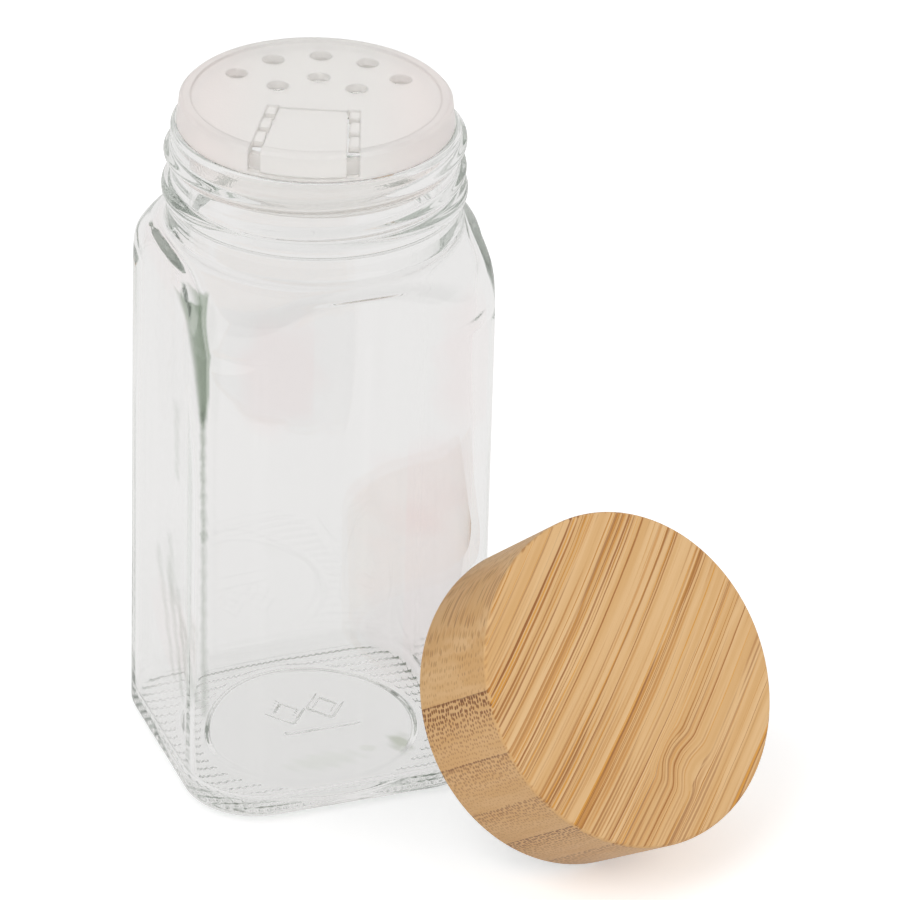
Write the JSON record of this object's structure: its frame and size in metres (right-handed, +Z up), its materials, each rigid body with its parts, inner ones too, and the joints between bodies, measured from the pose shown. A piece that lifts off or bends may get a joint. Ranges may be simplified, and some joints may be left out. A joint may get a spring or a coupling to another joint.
{
  "type": "spice jar",
  "caption": "Square clear-glass spice jar with a round threaded neck, a press-in plastic shaker top with a hinged pour flap, and a lined bamboo screw cap leaning open beside it.",
  "frame": {"origin": "on the plane that the jar stands on, at the jar's upright axis", "axes": "+Z up along the jar's axis; X and Y square to its flat sides; -Y is the side that the cap leans on"},
  "size_m": [0.0758, 0.0828, 0.1016],
  "materials": {
    "glass_jar": "clear soda-lime glass",
    "shaker_insert": "natural frosted polypropylene",
    "pour_flap": "natural frosted polypropylene",
    "bamboo_cap": "laminated bamboo, sanded, thin matt oil",
    "cap_liner": "white moulded polypropylene",
    "cap_seal": "white foamed polyethylene disc"
  },
  "bodies": {
    "jar": {"glass_jar": "glass_jar"},
    "insert": {"shaker_insert": "shaker_insert"},
    "flap": {"pour_flap": "pour_flap"},
    "cap": {"bamboo_cap": "bamboo_cap", "cap_liner": "cap_liner", "cap_seal": "cap_seal"}
  },
  "joints": [
    {"name": "insert_pull", "type": "slide", "parent": "jar", "child": "insert", "axis": [0, 0, 1], "range_m": [0, 0.03]},
    {"name": "flap_hinge", "type": "hinge", "parent": "insert", "child": "flap", "pos_m": [-0.00166, -0.00364, 0.1011], "axis": [-0.91, 0.4147, 0], "range_deg": [0, 110]},
    {"name": "cap_lift", "type": "slide", "parent": "jar", "child": "cap", "axis": [0, 0, 1], "range_m": [0, 0.06]}
  ]
}
